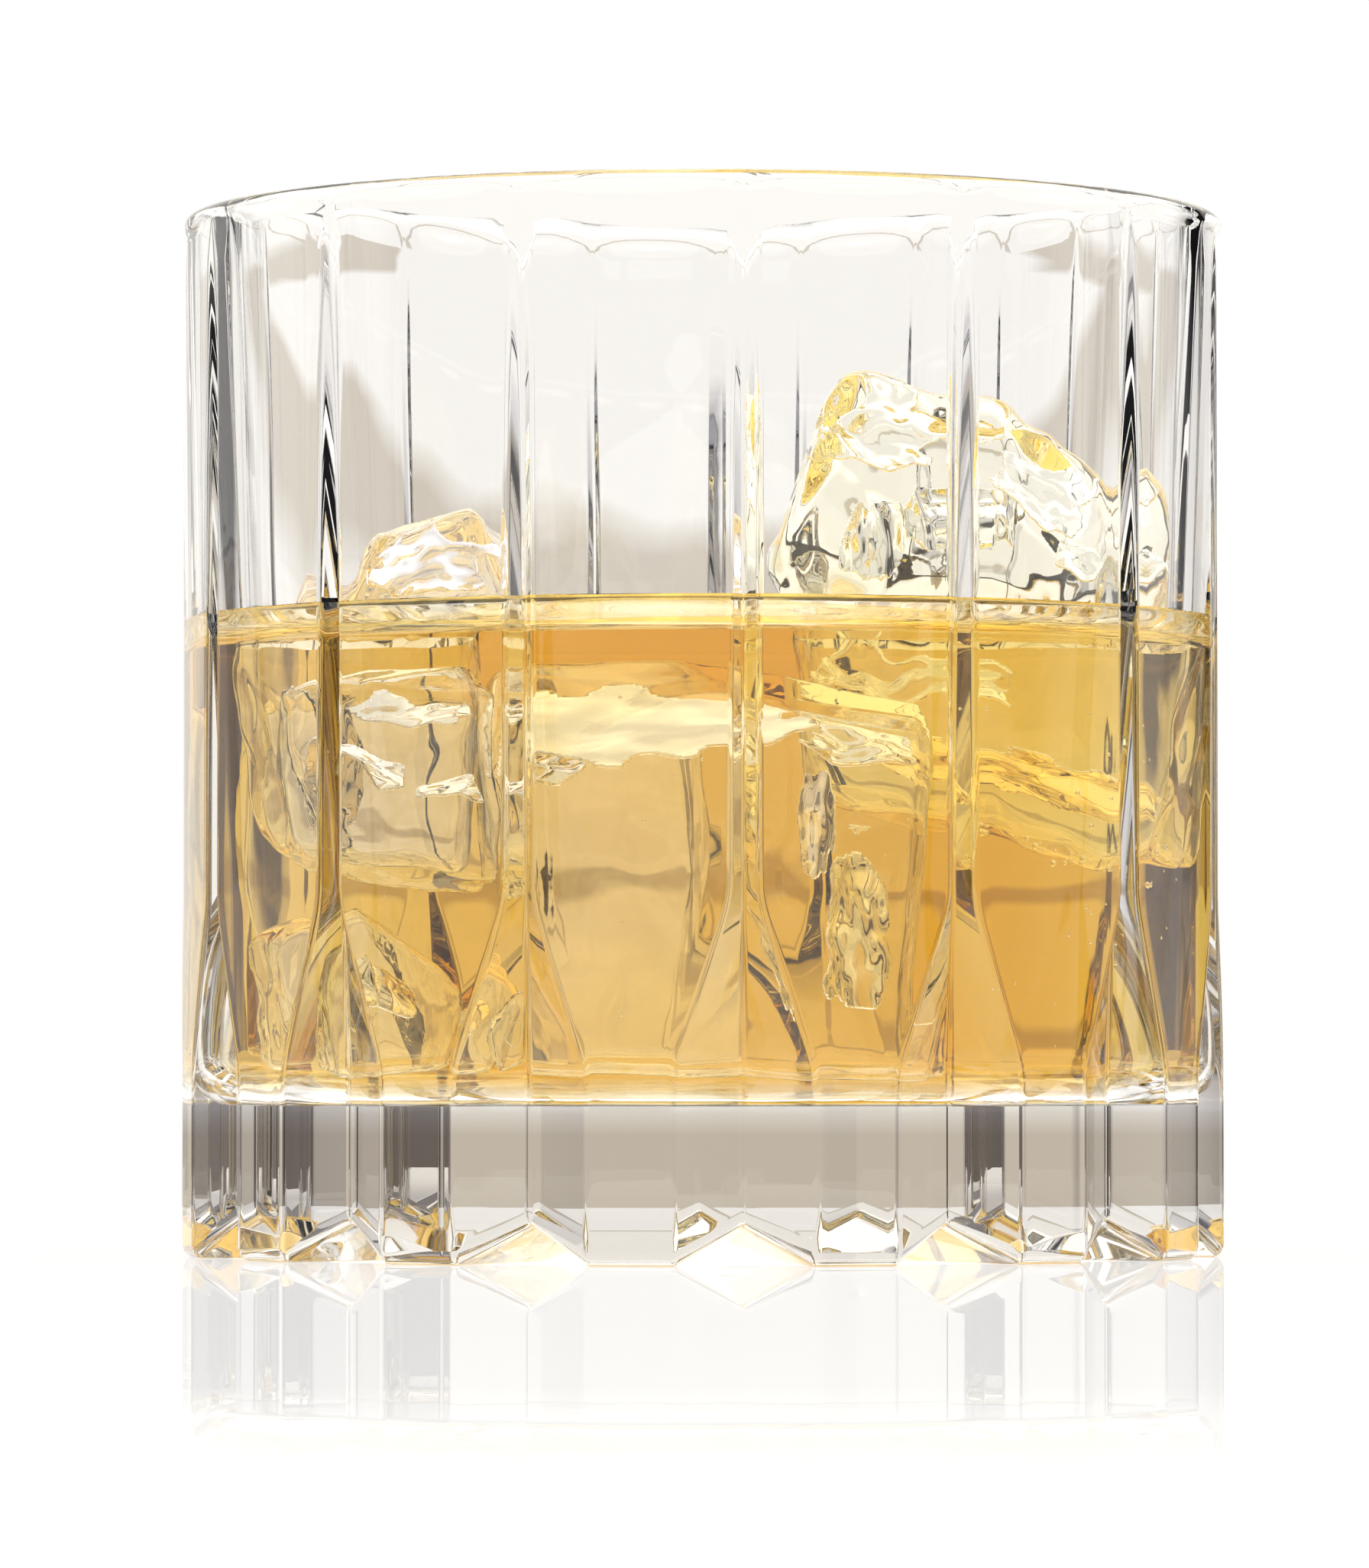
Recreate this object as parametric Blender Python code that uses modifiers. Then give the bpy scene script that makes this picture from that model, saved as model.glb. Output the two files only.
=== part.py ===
"""Whisky on ice in a heavy tumbler with fifteen grooves.

Metres, +Z up. The origin is on the table under the middle of the glass, and
angles round the glass count from -Y towards +X.
"""

import math

import bmesh
import bpy
from mathutils import Vector

MM = 0.001

# Tumbler, outside: flat panels with a groove between each two
SECTORS = 15
SECTOR = math.radians(360 / SECTORS)
FIRST_PANEL = math.radians(-7.6)
OUTER_R = 42.0 * MM
PANEL_BULGE = 0.22 * MM
HEIGHT = 83.7 * MM

# Grooves: narrow above, opening into wide flutes beside the foot's tongues
GROOVE_TIP_Z = 82.5 * MM
GROOVE_FULL_Z = 79.0 * MM
GROOVE_SPREAD_Z = 28.0 * MM
FLUTE_TOP_Z = 15.0 * MM
GROOVE_HALF = math.radians(1.4)
FLUTE_HALF = math.radians(7.5)
GROOVE_DEPTH = 1.9 * MM
FLUTE_DEPTH = 2.4 * MM
GROOVE_FADE = 2.2

# Foot: tongues that stand on flat pads, with a notch under each flute
NOTCH_Z = 3.1 * MM
FOOT_BEVEL = 0.9 * MM
FOOT_BEVEL_Z = 1.1 * MM
PAD_INNER_R = 26.5 * MM
RECESS_R = 24.5 * MM
RECESS_Z = 1.2 * MM

# Tumbler, inside
RIM_R = 0.8 * MM
CAVITY_R = 36.2 * MM  # at CAVITY_REF_Z
CAVITY_REF_Z = 20.0 * MM
CAVITY_TAPER = 0.0645
FLOOR_Z = 12.25 * MM
FLOOR_CORNER_R = 4.5 * MM

# Drink
LEVEL_Z = 48.7 * MM
MENISCUS_RISE = 2.3 * MM
MENISCUS_RUN = 3.2 * MM
GAP = 0.35 * MM

# Ice, in mm: each block is the hull of the four corners of its foot, the four of
# its waist, and the points of its crest
ICE_LARGE = (
    (5.5, -11.0, 36.0), (28.5, -13.0, 30.0), (29.5, 12.0, 30.5), (6.0, 15.0, 38.0),
    (3.5, -10.0, 56.0), (36.0, -9.0, 50.0), (36.5, 7.0, 51.0), (4.5, 12.0, 56.0),
)
ICE_LARGE_CREST = (
    (10.0, -6.5, 70.0), (18.0, -7.0, 70.2), (16.0, 8.0, 69.4),
    (27.5, -7.0, 65.6), (36.5, -4.5, 60.6), (35.5, 6.0, 60.4),
)
ICE_LEFT = (
    (-27.0, -20.0, 30.5), (-15.5, -20.5, 29.0), (-13.2, -2.0, 30.5), (-29.5, -3.0, 33.0),
    (-31.0, -17.0, 47.5), (-14.0, -20.0, 45.5), (-13.0, 0.0, 47.0), (-32.8, -2.0, 48.5),
)
ICE_LEFT_CREST = (
    (-27.5, -12.0, 57.6), (-15.4, -12.5, 59.2), (-15.2, -3.0, 58.8), (-27.0, -4.0, 57.2),
)
ICE_EDGE = 1.6 * MM
ICE_FLAT = math.radians(4)
ICE_GAP = 0.6 * MM


def clear_scene():
    for obj in list(bpy.data.objects):
        bpy.data.objects.remove(obj, do_unlink=True)


def collection(name):
    made = bpy.data.collections.new(name)
    bpy.context.scene.collection.children.link(made)
    return made


def material(name, colour, roughness, transmission):
    made = bpy.data.materials.new(name)
    made.use_nodes = True
    shader = made.node_tree.nodes["Principled BSDF"]
    shader.inputs["Base Color"].default_value = (*colour, 1.0)
    shader.inputs["Roughness"].default_value = roughness
    shader.inputs["Transmission Weight"].default_value = transmission
    made.diffuse_color = (*colour, 1.0)
    return made


def add_object(name, bm, mat, home):
    bmesh.ops.recalc_face_normals(bm, faces=bm.faces)
    mesh = bpy.data.meshes.new(name)
    bm.to_mesh(mesh)
    bm.free()
    mesh.materials.append(mat)
    obj = bpy.data.objects.new(name, mesh)
    home.objects.link(obj)
    return obj


def blend(low, high, t):
    """Between low and high, as t goes from 0 to 1."""
    return low + (high - low) * min(1.0, max(0.0, t))


def around(angle, radius, z):
    return Vector((radius * math.sin(angle), -radius * math.cos(angle), z))


# ---- Tumbler ----

def groove_half(z):
    """Half the angle that a groove takes up at this height."""
    if z >= GROOVE_SPREAD_Z:
        return blend(0.2 * GROOVE_HALF, GROOVE_HALF, (GROOVE_TIP_Z - z) / (GROOVE_TIP_Z - GROOVE_FULL_Z))
    return blend(GROOVE_HALF, FLUTE_HALF, (GROOVE_SPREAD_Z - z) / (GROOVE_SPREAD_Z - FLUTE_TOP_Z))


def groove_depth(z):
    """How far a groove's bottom lies inside the outer radius."""
    if z >= GROOVE_SPREAD_Z:
        climb = min(1.0, (z - GROOVE_SPREAD_Z) / (GROOVE_TIP_Z - GROOVE_SPREAD_Z))
        return GROOVE_DEPTH * (1.0 - climb ** GROOVE_FADE)
    return blend(GROOVE_DEPTH, FLUTE_DEPTH, (GROOVE_SPREAD_Z - z) / (GROOVE_SPREAD_Z - FLUTE_TOP_Z))


def panel_radius(angle, crease):
    """A flat panel, a little crowned, that ends at its creases on the outer radius."""
    flat = OUTER_R * math.cos(crease) / math.cos(angle)
    widest = SECTOR / 2 - GROOVE_HALF
    return flat + PANEL_BULGE * (crease / widest) ** 2 * (1.0 - (angle / crease) ** 2)


def sector_points(z):
    """(angle from the panel's middle, radius) of the six points of one sector, the groove's bottom last."""
    crease = SECTOR / 2 - groove_half(z)
    angles = [crease * step for step in (-1.0, -0.5, 0.0, 0.5, 1.0)]
    points = [(angle, panel_radius(angle, crease)) for angle in angles]
    return points + [(SECTOR / 2, OUTER_R - groove_depth(z))]


def sector_ring(points, heights):
    """One ring round the glass from a sector's points and their heights."""
    ring = []
    for k in range(SECTORS):
        middle = FIRST_PANEL + k * SECTOR
        ring += [around(middle + angle, radius, z) for (angle, radius), z in zip(points, heights)]
    return ring


def notch_z(radius):
    """The notch's roof, which drops towards the recess under the glass."""
    t = (radius - RECESS_R) / (OUTER_R - FLUTE_DEPTH - RECESS_R)
    return blend(RECESS_Z, NOTCH_Z, t)


def underside_rings():
    """The recess's edge, the pads' inner ends and their outer ends, with the notches between the pads."""
    tongue = [angle for angle, _ in sector_points(0.0)[:5]]
    rings = []
    for radius, z in ((RECESS_R, RECESS_Z), (PAD_INNER_R, 0.0), (OUTER_R - FOOT_BEVEL, 0.0)):
        valley = min(radius, OUTER_R - FLUTE_DEPTH - FOOT_BEVEL)
        points = [(angle, radius) for angle in tongue] + [(SECTOR / 2, valley)]
        rings.append(sector_ring(points, [z] * 5 + [max(z, notch_z(valley))]))
    return rings


def wall_rings():
    """The foot's rounded edge, and then the panels and grooves up to the rim."""
    rings = []
    for inset, rise in ((0.3, 0.3), (0.0, 1.0)):
        points = [(angle, radius - inset * FOOT_BEVEL) for angle, radius in sector_points(0.0)]
        roof = NOTCH_Z + 0.6 * rise * FOOT_BEVEL_Z
        rings.append(sector_ring(points, [rise * FOOT_BEVEL_Z] * 5 + [roof]))
    levels = (5.5, 15.0, 19.0, 23.5, 28.0, 36.0, 44.0, 51.0, 58.0, 64.0, 70.0, 75.0, 79.0, 81.2, 82.5)
    for level in levels:
        points = sector_points(level * MM)
        rings.append(sector_ring(points, [level * MM] * 6))
    return rings


def round_ring(radius, z):
    """A plain circle with a point at each point of the sectors above it."""
    return sector_ring([(angle, radius) for angle, _ in sector_points(GROOVE_SPREAD_Z)], [z] * 6)


def cavity_radius(z):
    return CAVITY_R + CAVITY_TAPER * (z - CAVITY_REF_Z)


def rim_rings():
    centre_z = HEIGHT - RIM_R
    inner = cavity_radius(centre_z)
    outer = OUTER_R - 0.12 * MM
    middle = (inner + outer) / 2
    half = (outer - inner) / 2
    turns = [math.radians(a) for a in (15, 50, 90, 130, 165)]
    return [round_ring(middle + half * math.cos(t), centre_z + RIM_R * math.sin(t)) for t in turns]


def cavity_rings():
    """Down the inner wall and round the corner to the floor."""
    corner_z = FLOOR_Z + FLOOR_CORNER_R
    rings = [round_ring(cavity_radius(z * MM), z * MM) for z in (82.5, 66.0, 48.0, 30.0)]
    corner_r = cavity_radius(corner_z) - FLOOR_CORNER_R
    for degrees in (0, 22.5, 45, 67.5, 90):
        t = math.radians(degrees)
        radius = corner_r + FLOOR_CORNER_R * math.cos(t)
        rings.append(round_ring(radius, corner_z - FLOOR_CORNER_R * math.sin(t)))
    return rings


def make_tumbler(mat, home):
    """A loft: each ring of points is joined to the next, and the two end rings are filled."""
    bm = bmesh.new()
    rings = underside_rings() + wall_rings() + rim_rings() + cavity_rings()
    rows = [[bm.verts.new(point) for point in ring] for ring in rings]
    for lower, upper in zip(rows, rows[1:]):
        for i in range(len(lower)):
            j = (i + 1) % len(lower)
            bm.faces.new((lower[i], lower[j], upper[j], upper[i]))
    for row in (rows[0], rows[-1]):
        bm.faces.new(row)
    obj = add_object("tumbler", bm, mat, home)
    obj.data.shade_smooth()
    obj.data.set_sharp_from_angle(angle=math.radians(14))
    return obj


# ---- Ice ----

def make_ice(name, corners, crest, mat, home):
    """An uneven block: the hull of its corners and its crest, with the edges melted round."""
    bm = bmesh.new()
    for point in corners + crest:
        bm.verts.new(Vector(point) * MM)
    bmesh.ops.convex_hull(bm, input=bm.verts)
    bmesh.ops.dissolve_limit(bm, angle_limit=ICE_FLAT, verts=bm.verts, edges=bm.edges)
    bmesh.ops.bevel(
        bm, geom=bm.edges[:], offset=ICE_EDGE, segments=2, profile=0.5, affect="EDGES", clamp_overlap=True,
        material=-1)
    bmesh.ops.remove_doubles(bm, verts=bm.verts, dist=0.05 * MM)
    bmesh.ops.triangulate(bm, faces=bm.faces)
    obj = add_object(name, bm, mat, home)
    obj.data.shade_smooth()
    return obj


# ---- Drink ----

def drink_profile():
    """(radius, z) from the surface's middle, up the meniscus, down the wall and in over the floor."""
    wall_z = LEVEL_Z + MENISCUS_RISE
    wall_r = cavity_radius(wall_z) - GAP
    points = [(0.0, LEVEL_Z), (wall_r - 1.6 * MENISCUS_RUN, LEVEL_Z)]
    for t in (1.0, 0.6, 0.3, 0.1, 0.0):
        points.append((wall_r - t * MENISCUS_RUN, LEVEL_Z + MENISCUS_RISE * (1.0 - t) ** 3))
    corner_z = FLOOR_Z + FLOOR_CORNER_R
    corner_r = cavity_radius(corner_z) - FLOOR_CORNER_R
    for degrees in (0, 30, 60, 90):
        t = math.radians(degrees)
        reach = FLOOR_CORNER_R - GAP
        points.append((corner_r + reach * math.cos(t), corner_z - reach * math.sin(t)))
    return points + [(0.0, FLOOR_Z + GAP)]


def make_drink(ice, mat, home, cutters):
    """A turned body, cut round each block of ice."""
    mesh = bpy.data.meshes.new("drink")
    bm = bmesh.new()
    verts = [bm.verts.new((radius, 0.0, z)) for radius, z in drink_profile()]
    for a, b in zip(verts, verts[1:]):
        bm.edges.new((a, b))
    bm.to_mesh(mesh)
    bm.free()
    mesh.materials.append(mat)
    obj = bpy.data.objects.new("drink", mesh)
    home.objects.link(obj)
    turn = obj.modifiers.new("turn", "SCREW")
    turn.axis = "Z"
    turn.angle = 2 * math.pi
    turn.steps = 72
    turn.render_steps = 72
    turn.use_merge_vertices = True
    turn.merge_threshold = 0.00001
    turn.use_normal_calculate = True
    for block in ice:
        cutter = bpy.data.objects.new(block.name + "_cutter", block.data.copy())
        cutters.objects.link(cutter)
        cutter.hide_render = True
        cutter.display_type = "WIRE"
        swell = cutter.modifiers.new("swell", "DISPLACE")
        swell.strength = ICE_GAP
        swell.mid_level = 0.0
        cut = obj.modifiers.new("cut " + block.name, "BOOLEAN")
        cut.operation = "DIFFERENCE"
        cut.object = cutter
    return obj


def main():
    clear_scene()
    home = collection("whisky_on_ice")
    cutters = collection("cutters")
    glass = material("clear glass", (0.95, 0.95, 0.94), 0.0, 1.0)
    whisky = material("whisky", (0.86, 0.55, 0.15), 0.0, 1.0)
    ice = material("ice", (0.94, 0.93, 0.88), 0.08, 1.0)
    make_tumbler(glass, home)
    blocks = [
        make_ice("ice_large", ICE_LARGE, ICE_LARGE_CREST, ice, home),
        make_ice("ice_left", ICE_LEFT, ICE_LEFT_CREST, ice, home),
    ]
    make_drink(blocks, whisky, home, cutters)


main()
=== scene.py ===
# %% [markdown]
# # Whisky on ice in a grooved tumbler
# A heavy pressed tumbler, its drink and the ice in it are all clear, so nothing
# here gets its look from paint. The shapes bend the light, and the drink colours
# what passes through it. Good form and true refraction do most of the work, so
# every piece is a closed body with a real thickness.

# %% Tools and the fixed solids
import math
import random

import bmesh
import bpy
from mathutils import Matrix, Vector, noise
from mathutils.bvhtree import BVHTree


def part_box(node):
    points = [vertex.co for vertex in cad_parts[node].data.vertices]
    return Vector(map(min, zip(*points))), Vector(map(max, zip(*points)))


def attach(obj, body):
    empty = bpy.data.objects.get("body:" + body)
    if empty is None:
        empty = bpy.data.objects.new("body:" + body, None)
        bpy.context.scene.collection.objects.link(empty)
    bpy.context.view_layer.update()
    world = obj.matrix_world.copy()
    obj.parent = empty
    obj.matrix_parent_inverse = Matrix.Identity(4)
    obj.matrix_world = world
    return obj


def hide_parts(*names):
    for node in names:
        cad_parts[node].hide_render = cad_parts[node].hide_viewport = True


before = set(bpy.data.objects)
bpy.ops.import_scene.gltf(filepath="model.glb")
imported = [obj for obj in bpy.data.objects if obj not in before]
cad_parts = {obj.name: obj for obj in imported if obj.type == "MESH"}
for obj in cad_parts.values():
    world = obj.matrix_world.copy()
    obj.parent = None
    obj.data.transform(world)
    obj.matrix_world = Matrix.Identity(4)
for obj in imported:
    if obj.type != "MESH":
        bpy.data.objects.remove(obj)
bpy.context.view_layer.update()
MM = 0.001
print("nodes:", sorted(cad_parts))

# %% [markdown]
# ## Small helpers
# Every piece ends the same way: its mesh goes into an object that sits at the
# origin, it takes a material, it rides on the one body, and the solids it
# stands for are hidden.


# %% Finishing a piece
def blend(low, high, t):
    """Between low and high, as t goes from 0 to 1."""
    return low + (high - low) * min(1.0, max(0.0, t))


def mesh_object(name, bm):
    mesh = bpy.data.meshes.new(name)
    bm.to_mesh(mesh)
    bm.free()
    obj = bpy.data.objects.new(name, mesh)
    bpy.context.scene.collection.objects.link(obj)
    return obj


def finish_piece(obj, material, slot, *solids):
    """Shade it smooth, dress it, hang it on the root body and hide its solids."""
    obj.data.materials.clear()
    obj.data.materials.append(material)
    obj.data.shade_smooth()
    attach(obj, "root")
    if solids:
        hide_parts(*solids)
    print(obj.name, len(obj.data.polygons), "faces")


def applied(obj):
    """Replace an object's mesh by the one that its modifiers make."""
    graph = bpy.context.evaluated_depsgraph_get()
    graph.update()
    made = bpy.data.meshes.new_from_object(obj.evaluated_get(graph))
    obj.modifiers.clear()
    obj.data = made
    return obj


# %% [markdown]
# ## Camera
# The eye is almost at table height, so the rim and the foot both show as nearly
# straight lines, and a long lens keeps the glass's sides upright.

# %% Camera at the table's edge
LENS = 203.0
EYE = Vector((0.0, -714.0, 14.7)) * MM
LOOK_AT = Vector((-1.48, 0.0, 38.05)) * MM

camera_data = bpy.data.cameras.new("camera")
camera_data.lens = LENS
camera_data.sensor_width = 36.0
camera_data.clip_start = 0.01
camera_data.clip_end = 60.0
camera = bpy.data.objects.new("camera", camera_data)
bpy.context.scene.collection.objects.link(camera)
camera.location = EYE
camera.rotation_mode = "QUATERNION"
camera.rotation_quaternion = (LOOK_AT - EYE).to_track_quat("-Z", "Y")
bpy.context.scene.camera = camera
print("eye:", round((LOOK_AT - EYE).length / MM), "mm from the glass")

# %% [markdown]
# ## The tumbler's section
# Seen from above, the outside is fifteen flat panels with a V groove between
# each two. The grooves are narrow down to a third of the height, and then open
# into wide flutes that leave narrow tongues for the foot. One function gives the
# section at any height, with its creases rounded as fire-polished glass has them.

# %% The section's sizes
SECTORS = 15
SECTOR = math.radians(360 / SECTORS)
FIRST_PANEL = math.radians(-7.6)
OUTER_R = 42.0 * MM
PANEL_BULGE = 0.22 * MM
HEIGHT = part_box("tumbler")[1].z
GROOVE_TIP_Z = 82.5 * MM
GROOVE_FULL_Z = 79.0 * MM
GROOVE_SPREAD_Z = 28.0 * MM
FLUTE_TOP_Z = 15.0 * MM
GROOVE_HALF = math.radians(1.4)
FLUTE_HALF = math.radians(7.5)
GROOVE_DEPTH = 1.9 * MM
FLUTE_DEPTH = 2.4 * MM
GROOVE_FADE = 2.2
GROOVE_TIP_SHARE = 0.2
EDGE_SOFT = 0.45 * MM
EDGE_SOFT_SHARE = 0.35


def soft_step(t, softness=0.12):
    """A straight ramp from 0 to 1 whose two corners are rounded."""
    def knee(x):
        if x <= -softness:
            return 0.0
        return x if x >= softness else (x + softness) ** 2 / (4 * softness)
    return knee(t) - knee(t - 1.0)


def groove_half(z):
    """Half the angle that a groove takes up at this height."""
    if z > GROOVE_FULL_Z:
        share = (GROOVE_TIP_Z - z) / (GROOVE_TIP_Z - GROOVE_FULL_Z)
        return blend(GROOVE_TIP_SHARE * GROOVE_HALF, GROOVE_HALF, share)
    spread = soft_step((GROOVE_SPREAD_Z - z) / (GROOVE_SPREAD_Z - FLUTE_TOP_Z))
    return GROOVE_HALF + (FLUTE_HALF - GROOVE_HALF) * spread


def groove_depth(z):
    """How far a groove's bottom lies inside the outer radius."""
    climb = min(1.0, max(0.0, (z - GROOVE_SPREAD_Z) / (GROOVE_TIP_Z - GROOVE_SPREAD_Z)))
    spread = soft_step((GROOVE_SPREAD_Z - z) / (GROOVE_SPREAD_Z - FLUTE_TOP_Z))
    return GROOVE_DEPTH * (1.0 - climb ** GROOVE_FADE) + (FLUTE_DEPTH - GROOVE_DEPTH) * spread


# %% One sector's outline
PANEL_POINTS = 7


def polar(angle, radius):
    return Vector((radius * math.cos(angle), radius * math.sin(angle)))


def arc_point(start, corner, end, t):
    """A point of the curve that rounds a corner."""
    return start * (1 - t) ** 2 + corner * (2 * t * (1 - t)) + end * t * t


def half_outline(z):
    """From a panel's middle to a groove's bottom, with both creases rounded."""
    crease = SECTOR / 2 - groove_half(z)
    widest = SECTOR / 2 - GROOVE_HALF
    corner = polar(crease, OUTER_R)
    bottom = polar(SECTOR / 2, OUTER_R - groove_depth(z))
    side = (bottom - corner).length
    soft = min(EDGE_SOFT, EDGE_SOFT_SHARE * side)
    last = crease - soft / OUTER_R
    points = []
    for i in range(PANEL_POINTS):
        angle = last * i / (PANEL_POINTS - 1)
        flat = OUTER_R * math.cos(crease) / math.cos(angle)
        bulge = PANEL_BULGE * (crease / widest) ** 2 * (1 - (angle / crease) ** 2)
        points.append(polar(angle, flat + bulge))
    down = corner.lerp(bottom, soft / side)
    points += [arc_point(points[-1], corner, down, t) for t in (0.25, 0.5, 0.75, 1.0)]
    low = bottom.lerp(corner, soft / side)
    across = 2 * polar(SECTOR / 2, low.dot(polar(SECTOR / 2, 1.0))) - low
    points += [low] + [arc_point(low, bottom, across, t) for t in (0.25, 0.5)]
    return points


HALF_COLUMNS = len(half_outline(0.0))
COLUMNS = 2 * HALF_COLUMNS - 2
print("columns in a sector:", COLUMNS)


def sector_outline(z):
    """(angle from the panel's middle, radius) of one sector's columns, the groove's bottom last."""
    half = [(math.atan2(p.y, p.x), p.length) for p in half_outline(z)]
    left = [(-angle, radius) for angle, radius in reversed(half[1:-1])]
    return left + half


# %% [markdown]
# ## Rows up the glass
# The glass is turned on the lathe first: a profile spun round the axis gives a
# clean net of rows and columns. Then each row is moved onto its own section, the
# way a mould presses grooves into a round gather of glass. The foot's tongues
# end in flat pads, with a notch under each flute.

# %% Foot, rim and cavity sizes
NOTCH_Z = 3.1 * MM
FOOT_BEVEL = 0.9 * MM
FOOT_BEVEL_Z = 1.1 * MM
PAD_INNER_R = 26.5 * MM
RECESS_R = 24.5 * MM
RECESS_Z = 1.2 * MM
RECESS_DOME = 0.4 * MM
FOOT_TOP_Z = 6.0 * MM
NOTCH_BEVEL_LOSS = 0.4
RIM_R = 0.8 * MM
RIM_OUTER_R = OUTER_R - 0.12 * MM
CAVITY_TOP_GAP = 1.6 * MM
CAVITY_R = 36.2 * MM
CAVITY_REF_Z = 20.0 * MM
CAVITY_TAPER = 0.0645
FLOOR_Z = 12.25 * MM
FLOOR_CORNER_R = 4.5 * MM
WAVE = 0.035 * MM
WAVE_SIZE = 11.0 * MM
WAVE_FADE_Z = 8.0 * MM
POLE_GAP = 0.001 * MM

FOOT_OUTLINE = sector_outline(0.0)
FOOT_CREASE = SECTOR / 2 - FLUTE_HALF


def cavity_radius(z):
    return CAVITY_R + CAVITY_TAPER * (z - CAVITY_REF_Z)


def notch_share(angle):
    """0 over a tongue, rising to 1 at the groove's bottom."""
    return max(0.0, (abs(angle) - FOOT_CREASE) / (SECTOR / 2 - FOOT_CREASE))


def notch_roof(radius):
    return blend(RECESS_Z, NOTCH_Z, (radius - RECESS_R) / (OUTER_R - FLUTE_DEPTH - RECESS_R))


def round_row(radius, z):
    """A plain circle, with its points on the same columns as the grooved rows."""
    return [(angle, radius, z) for angle, _ in sector_outline(GROOVE_SPREAD_Z)]


# %% Rows under the foot
def underside_rows():
    """From the middle of the recess out over the tongues' pads."""
    rows = [[(angle, r, RECESS_Z + RECESS_DOME * (1 - r / RECESS_R)) for angle, _ in FOOT_OUTLINE]
            for r in (0.0, 6 * MM, 12 * MM, 18 * MM, 22 * MM, RECESS_R)]
    for step in (0.25, 0.5, 0.75, 1.0):
        radius = blend(RECESS_R, PAD_INNER_R, step)
        drop = RECESS_Z * (0.5 + 0.5 * math.cos(math.pi * step))
        roof = notch_roof(radius)
        rows.append([(angle, radius, blend(drop, roof, notch_share(angle))) for angle, _ in FOOT_OUTLINE])
    for step in (0.15, 0.3, 0.45, 0.6, 0.75, 0.88, 1.0):
        row = []
        for angle, edge in FOOT_OUTLINE:
            radius = blend(PAD_INNER_R, edge - FOOT_BEVEL, step)
            row.append((angle, radius, notch_share(angle) * notch_roof(radius)))
        rows.append(row)
    return rows


def foot_rows():
    """The rounded lower edge, and the wall up to where the rows run level."""
    rows = []
    for turn in (18, 36, 54, 72, 90):
        t = math.radians(turn)
        row = []
        for angle, edge in FOOT_OUTLINE:
            share = notch_share(angle)
            rise = FOOT_BEVEL_Z * (1 - NOTCH_BEVEL_LOSS * share)
            low = share * NOTCH_Z
            radius = edge - FOOT_BEVEL * (1 - math.sin(t))
            row.append((angle, radius, low + rise * (1 - math.cos(t))))
        rows.append(row)
    for step in (0.2, 0.45, 0.7, 1.0):
        row = []
        for angle, edge in FOOT_OUTLINE:
            share = notch_share(angle)
            low = share * NOTCH_Z + FOOT_BEVEL_Z * (1 - NOTCH_BEVEL_LOSS * share)
            row.append((angle, edge, blend(low, FOOT_TOP_Z, step)))
        rows.append(row)
    return rows


# %% Rows up the wall, over the rim and down the inside
def wall_rows():
    """Close together, in mm, where the grooves open into flutes and where they end at the rim."""
    levels = [7.5, 9.5, 11.5, 13.0, 14.2, 15.2, 16.3, 17.6, 19.0, 20.5, 22.0, 23.5, 25.0]
    levels += [26.2, 27.2, 28.0, 28.8, 30.0, 32.5] + [35.0 + 3.0 * i for i in range(14)]
    levels += [76.0, 77.5, 79.0, 80.0, 80.8, 81.5, 82.1]
    rows = [[(angle, radius, z * MM) for angle, radius in sector_outline(z * MM)] for z in levels]
    last = rows[-1]
    rows.append([(a, blend(r, RIM_OUTER_R, 0.6), 82.55 * MM) for a, r, _ in last])
    return rows


def rim_rows():
    """Half a round, from the outside over to the inside."""
    centre_z = HEIGHT - RIM_R
    inner = cavity_radius(centre_z)
    middle, half = (RIM_OUTER_R + inner) / 2, (RIM_OUTER_R - inner) / 2
    turns = [math.radians(10 + 20 * i) for i in range(9)]
    return [round_row(middle + half * math.cos(t), centre_z + RIM_R * math.sin(t)) for t in turns]


def cavity_rows():
    """Down the tapered wall, round the corner and in to the middle of the floor."""
    corner_z = FLOOR_Z + FLOOR_CORNER_R
    rows = []
    steps = 30
    for i in range(steps):
        z = blend(HEIGHT - CAVITY_TOP_GAP, corner_z + 1.0 * MM, i / (steps - 1))
        rows.append(round_row(cavity_radius(z), z))
    corner_r = cavity_radius(corner_z) - FLOOR_CORNER_R
    for degrees in range(0, 91, 10):
        t = math.radians(degrees)
        radius = corner_r + FLOOR_CORNER_R * math.cos(t)
        rows.append(round_row(radius, corner_z - FLOOR_CORNER_R * math.sin(t)))
    for share in (0.92, 0.82, 0.7, 0.56, 0.42, 0.28, 0.14, 0.0):
        rows.append(round_row(corner_r * share, FLOOR_Z))
    return rows


# %% Turn a profile on the lathe
def around(angle, radius, z):
    return Vector((radius * math.sin(angle), -radius * math.cos(angle), z))


def turned(profile, steps):
    """Spin a profile of (radius, z). Returns the bmesh and the layer of row numbers."""
    bm = bmesh.new()
    number = bm.verts.layers.int.new("row")
    verts = []
    for row, (radius, z) in enumerate(profile):
        vert = bm.verts.new((radius, 0.0, z))
        vert[number] = row
        verts.append(vert)
    edges = [bm.edges.new(pair) for pair in zip(verts, verts[1:])]
    bmesh.ops.spin(
        bm, geom=verts + edges, cent=(0, 0, 0), axis=(0, 0, 1), dvec=(0, 0, 0), angle=2 * math.pi,
        steps=steps, use_merge=True, use_duplicate=False)
    return bm, number


def close_poles(bm):
    bmesh.ops.remove_doubles(bm, verts=bm.verts, dist=POLE_GAP)
    bmesh.ops.recalc_face_normals(bm, faces=bm.faces)


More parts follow.
